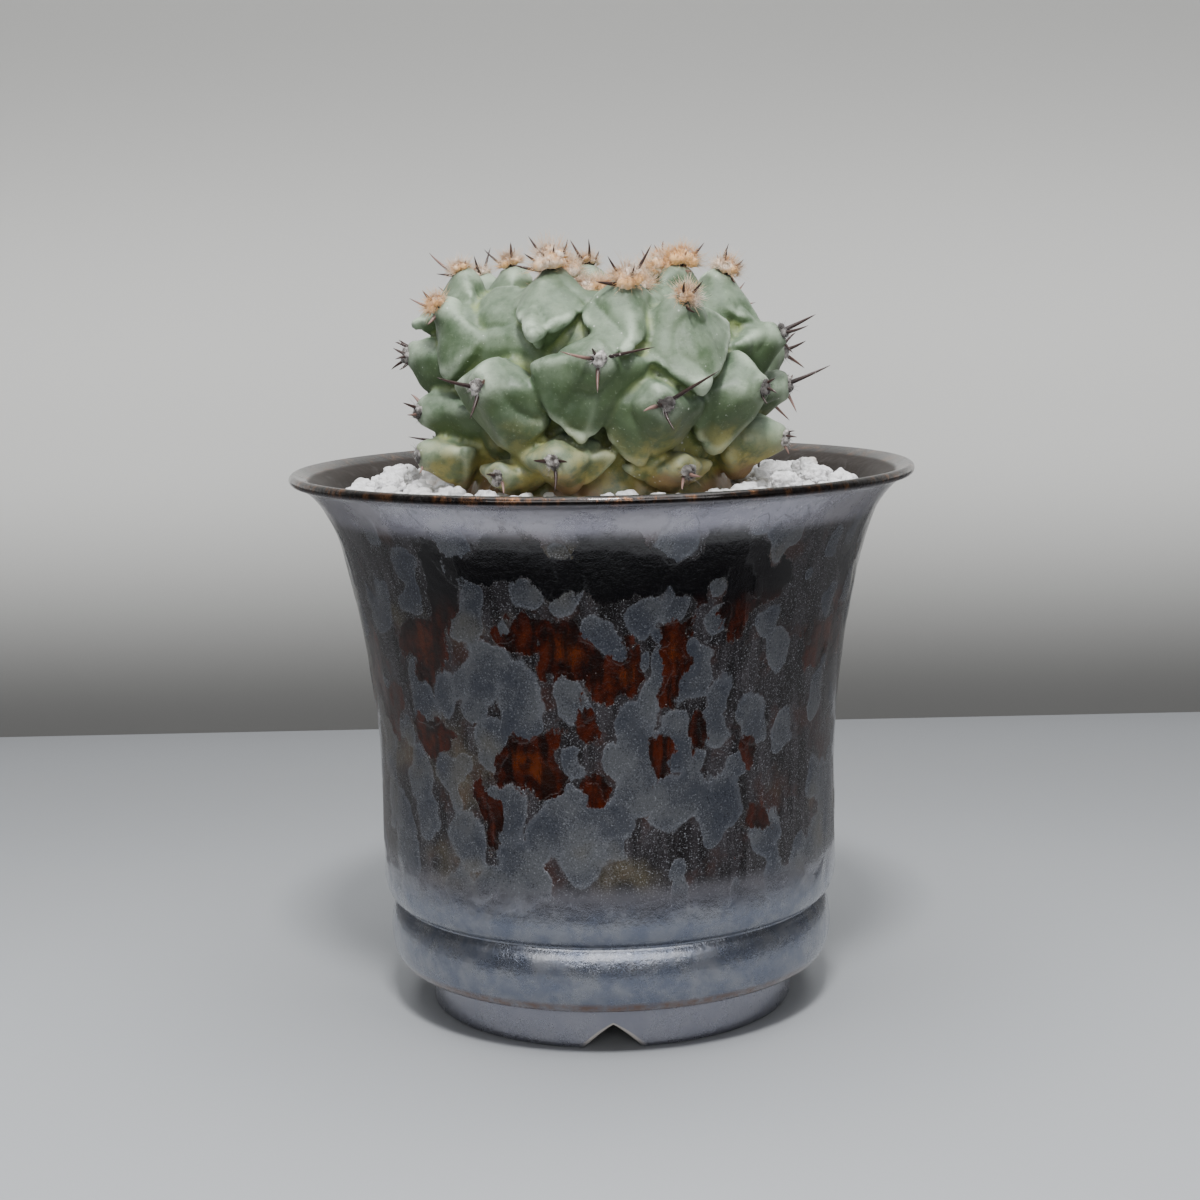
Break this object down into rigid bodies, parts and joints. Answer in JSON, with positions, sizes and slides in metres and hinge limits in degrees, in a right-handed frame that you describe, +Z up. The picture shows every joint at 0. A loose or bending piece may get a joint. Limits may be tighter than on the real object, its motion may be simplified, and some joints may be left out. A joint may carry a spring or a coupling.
{
  "type": "potted round cactus",
  "caption": "Round cactus with plump grey-green tubercles, dark spines and a woolly crown, rooted in a flared, dark glazed pot with a notched foot and pale pumice top dressing.",
  "frame": {"origin": "on the ground, under the centre of the pot's foot", "axes": "+Z up; -Y is the front, where one foot notch shows; +X to the right"},
  "size_m": [0.1198, 0.1198, 0.1512],
  "materials": {
    "glaze": "gloss",
    "black_plastic": "matte",
    "gritty_soil": "matte",
    "white_pumice": "matte",
    "bloomed_skin": "satin",
    "cream_wool": "matte",
    "dark_spines": "satin"
  },
  "bodies": {
    "root": {"pot": "glaze", "drain_screen": "black_plastic", "soil": "gritty_soil", "pumice_dressing": "white_pumice", "cactus_stem": "bloomed_skin", "crown_wool": "cream_wool", "areole_01": "dark_spines", "areole_02": "dark_spines", "areole_03": "dark_spines", "areole_04": "dark_spines", "areole_05": "dark_spines", "areole_06": "dark_spines", "areole_07": "dark_spines", "areole_08": "dark_spines", "areole_09": "dark_spines", "areole_10": "dark_spines", "areole_11": "dark_spines", "areole_12": "dark_spines", "areole_13": "dark_spines", "areole_14": "dark_spines", "areole_15": "dark_spines", "areole_16": "dark_spines", "areole_17": "dark_spines", "areole_18": "dark_spines", "areole_19": "dark_spines", "areole_20": "dark_spines", "areole_21": "dark_spines", "areole_22": "dark_spines", "areole_23": "dark_spines", "areole_24": "dark_spines", "areole_25": "dark_spines", "areole_26": "dark_spines", "areole_27": "dark_spines", "areole_28": "dark_spines", "areole_29": "dark_spines", "areole_30": "dark_spines", "areole_31": "dark_spines", "areole_32": "dark_spines", "areole_33": "dark_spines", "areole_34": "dark_spines", "areole_35": "dark_spines", "areole_36": "dark_spines", "areole_37": "dark_spines", "areole_38": "dark_spines", "areole_39": "dark_spines", "areole_40": "dark_spines", "areole_41": "dark_spines", "areole_42": "dark_spines", "areole_43": "dark_spines", "areole_44": "dark_spines", "pumice_stone_01": "white_pumice", "pumice_stone_02": "white_pumice", "pumice_stone_03": "white_pumice", "pumice_stone_04": "white_pumice", "pumice_stone_05": "white_pumice", "pumice_stone_06": "white_pumice", "pumice_stone_07": "white_pumice", "pumice_stone_08": "white_pumice", "pumice_stone_09": "white_pumice", "pumice_stone_10": "white_pumice"}
  },
  "joints": []
}
